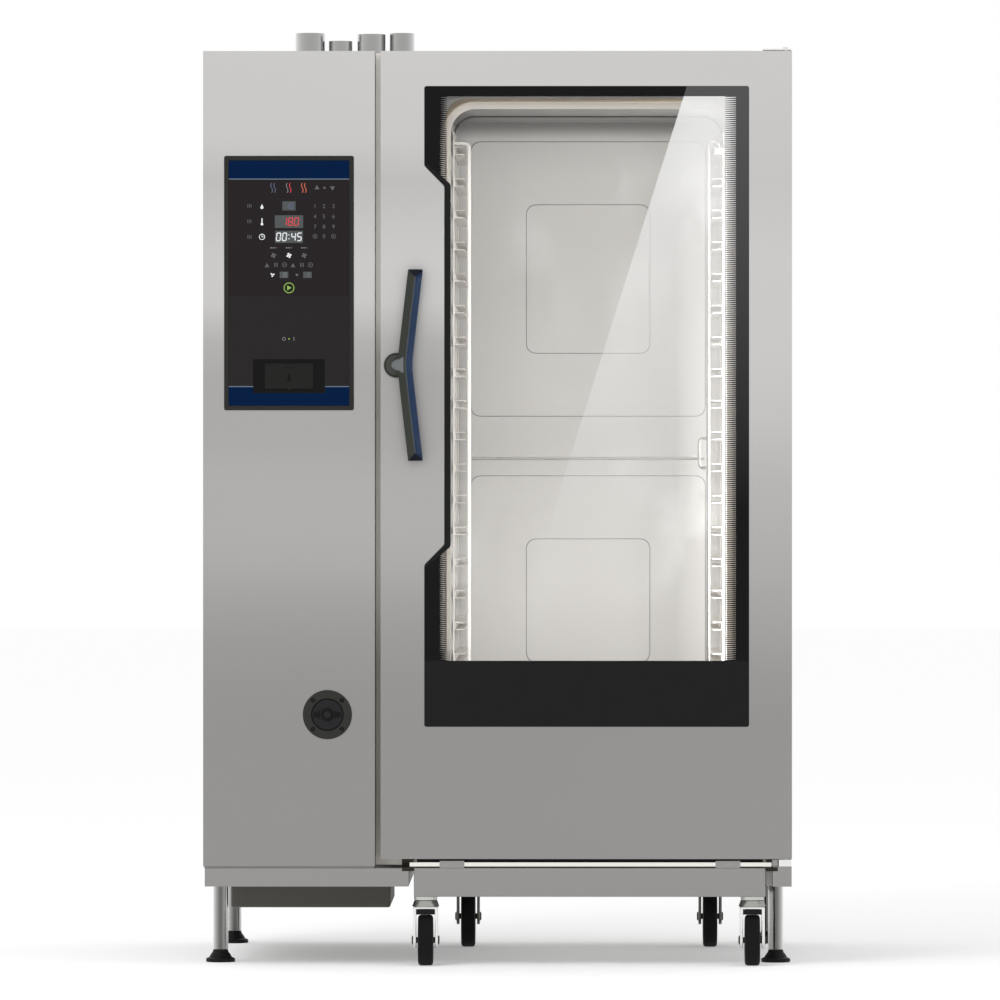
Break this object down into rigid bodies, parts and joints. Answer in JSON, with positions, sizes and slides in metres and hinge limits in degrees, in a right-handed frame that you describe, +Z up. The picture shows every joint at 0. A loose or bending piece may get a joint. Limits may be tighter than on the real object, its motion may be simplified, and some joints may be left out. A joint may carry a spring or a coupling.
{
  "type": "combi steamer oven",
  "caption": "Floor-standing roll-in combi steamer oven with glazed hinged door, control column, rack trolley, fans, levelling feet and casters.",
  "frame": {"origin": "on the floor under the middle of the oven", "axes": "+Z up, -Y towards the door side, +X towards the hinge side"},
  "size_m": [1.162, 1.066, 1.878],
  "materials": {
    "frame_steel": "satin",
    "panel_steel": "brushed",
    "cavity_steel": "satin",
    "mineral_wool": "matte fibre",
    "cast_aluminium": "cast",
    "heater_alloy": "oxidised",
    "black_plastic": "matte",
    "panel_glass": "gloss",
    "circuit_board": "satin",
    "grey_plastic": "matte",
    "collar_plastic": "satin",
    "fastener_steel": "satin",
    "pipe_steel": "satin",
    "dark_steel": "satin",
    "brass": "machined",
    "hinge_chrome": "polished",
    "seal_rubber": "matte",
    "black_glass": "gloss",
    "clear_glass": "gloss",
    "lamp_plastic": "satin",
    "handle_grey": "satin",
    "handle_blue": "satin",
    "rack_steel": "polished",
    "fork_zinc": "zinc plated",
    "wheel_rubber": "matte",
    "foot_plastic": "satin"
  },
  "bodies": {
    "cabinet": {"base_frame": "frame_steel", "cable_gland": "black_plastic", "cavity_facade": "panel_steel", "cavity_liner": "cavity_steel", "column_front_panel": "panel_steel", "control_bezel": "black_plastic", "control_board": "circuit_board", "control_glass": "panel_glass", "docking_blocks": "black_plastic", "door_gasket": "seal_rubber", "door_hinges": "hinge_chrome", "drain_box": "dark_steel", "fan_baffle": "cavity_steel", "fan_motors": "cast_aluminium", "floor_panels": "panel_steel", "heating_rings": "heater_alloy", "hose_reel": "black_plastic", "insulation": "mineral_wool", "latch_keeper": "fastener_steel", "left_side_panel": "panel_steel", "power_electronics": "grey_plastic", "rear_panel": "panel_steel", "right_side_panel": "panel_steel", "spray_collar": "collar_plastic", "spray_collar_screws": "fastener_steel", "steam_generator": "panel_steel", "top_panel": "panel_steel", "vent_pipes": "pipe_steel", "water_inlets": "brass"},
    "door": {"door_skin": "panel_steel", "door_inner_frame": "cavity_steel", "outer_glass": "black_glass", "inner_glass": "clear_glass", "window_trim": "black_plastic", "door_lights": "lamp_plastic", "handle_rosette": "handle_grey"},
    "handle": {"handle_lever": "handle_grey", "handle_insert": "handle_blue", "handle_spindle": "fastener_steel"},
    "trolley": {"trolley_frame": "frame_steel", "trolley_base_pan": "cavity_steel", "trolley_apron": "panel_steel", "rack_posts": "rack_steel", "tray_runners": "rack_steel", "rear_caster_forks": "fork_zinc"},
    "tray_lock": {"tray_lock_bar": "rack_steel"},
    "lower_fan_wheel": {"lower_fan": "cavity_steel"},
    "upper_fan_wheel": {"upper_fan": "cavity_steel"},
    "service_flap": {"usb_flap": "grey_plastic"},
    "hand_shower": {"spray_gun": "collar_plastic"},
    "front_left_caster": {"front_left_caster_fork": "fork_zinc"},
    "front_right_caster": {"front_right_caster_fork": "fork_zinc"},
    "front_left_roller": {"front_left_wheel": "wheel_rubber"},
    "front_left_levelling_foot": {"front_left_foot": "foot_plastic"},
    "front_right_roller": {"front_right_wheel": "wheel_rubber"},
    "front_right_levelling_foot": {"front_right_foot": "foot_plastic"},
    "rear_left_roller": {"rear_left_wheel": "wheel_rubber"},
    "rear_left_levelling_foot": {"rear_left_foot": "foot_plastic"},
    "rear_right_roller": {"rear_right_wheel": "wheel_rubber"},
    "rear_right_levelling_foot": {"rear_right_foot": "foot_plastic"}
  },
  "joints": [
    {"name": "door_swing", "type": "hinge", "parent": "cabinet", "child": "door", "pos_m": [0.5686, -0.446, 1], "axis": [0, 0, 1], "range_deg": [0, 110]},
    {"name": "handle_turn", "type": "hinge", "parent": "door", "child": "handle", "pos_m": [-0.1997, -0.461, 1.1847], "axis": [0, 1, 0], "range_deg": [-40, 40], "stiffness_Nm_per_rad": 1.5},
    {"name": "trolley_roll", "type": "slide", "parent": "cabinet", "child": "trolley", "axis": [0, -1, 0], "range_m": [0, 0.015]},
    {"name": "tray_lock_swing", "type": "hinge", "parent": "trolley", "child": "tray_lock", "pos_m": [0.4385, -0.33, 1], "axis": [0, 0, 1], "range_deg": [0, 75]},
    {"name": "lower_fan_spin", "type": "hinge", "parent": "cabinet", "child": "lower_fan_wheel", "pos_m": [-0.2, 0.018, 0.64], "axis": [1, 0, 0], "continuous": true},
    {"name": "upper_fan_spin", "type": "hinge", "parent": "cabinet", "child": "upper_fan_wheel", "pos_m": [-0.2, 0.018, 1.33], "axis": [1, 0, 0], "continuous": true},
    {"name": "service_flap_hinge", "type": "hinge", "parent": "cabinet", "child": "service_flap", "pos_m": [-0.41155, -0.462, 1.1389], "axis": [1, 0, 0], "range_deg": [0, 105]},
    {"name": "hand_shower_pull", "type": "slide", "parent": "cabinet", "child": "hand_shower", "axis": [0, -1, 0], "range_m": [0, 0.12], "stiffness_N_per_m": 30},
    {"name": "front_left_caster_swivel", "type": "hinge", "parent": "trolley", "child": "front_left_caster", "pos_m": [-0.142, -0.421, 0.12], "axis": [0, 0, 1], "continuous": true},
    {"name": "front_left_wheel_spin", "type": "hinge", "parent": "front_left_caster", "child": "front_left_roller", "pos_m": [-0.142, -0.446, 0.05], "axis": [1, 0, 0], "continuous": true},
    {"name": "front_right_caster_swivel", "type": "hinge", "parent": "trolley", "child": "front_right_caster", "pos_m": [0.503, -0.421, 0.12], "axis": [0, 0, 1], "continuous": true},
    {"name": "front_right_wheel_spin", "type": "hinge", "parent": "front_right_caster", "child": "front_right_roller", "pos_m": [0.503, -0.446, 0.05], "axis": [1, 0, 0], "continuous": true},
    {"name": "rear_left_wheel_spin", "type": "hinge", "parent": "trolley", "child": "rear_left_roller", "pos_m": [-0.066, 0.305, 0.0625], "axis": [1, 0, 0], "continuous": true},
    {"name": "rear_right_wheel_spin", "type": "hinge", "parent": "trolley", "child": "rear_right_roller", "pos_m": [0.43, 0.305, 0.0625], "axis": [1, 0, 0], "continuous": true},
    {"name": "front_left_foot_screw", "type": "slide", "parent": "cabinet", "child": "front_left_levelling_foot", "axis": [0, 0, 1], "range_m": [-0.03, 0]},
    {"name": "front_right_foot_screw", "type": "slide", "parent": "cabinet", "child": "front_right_levelling_foot", "axis": [0, 0, 1], "range_m": [-0.03, 0]},
    {"name": "rear_left_foot_screw", "type": "slide", "parent": "cabinet", "child": "rear_left_levelling_foot", "axis": [0, 0, 1], "range_m": [-0.03, 0]},
    {"name": "rear_right_foot_screw", "type": "slide", "parent": "cabinet", "child": "rear_right_levelling_foot", "axis": [0, 0, 1], "range_m": [-0.03, 0]}
  ]
}
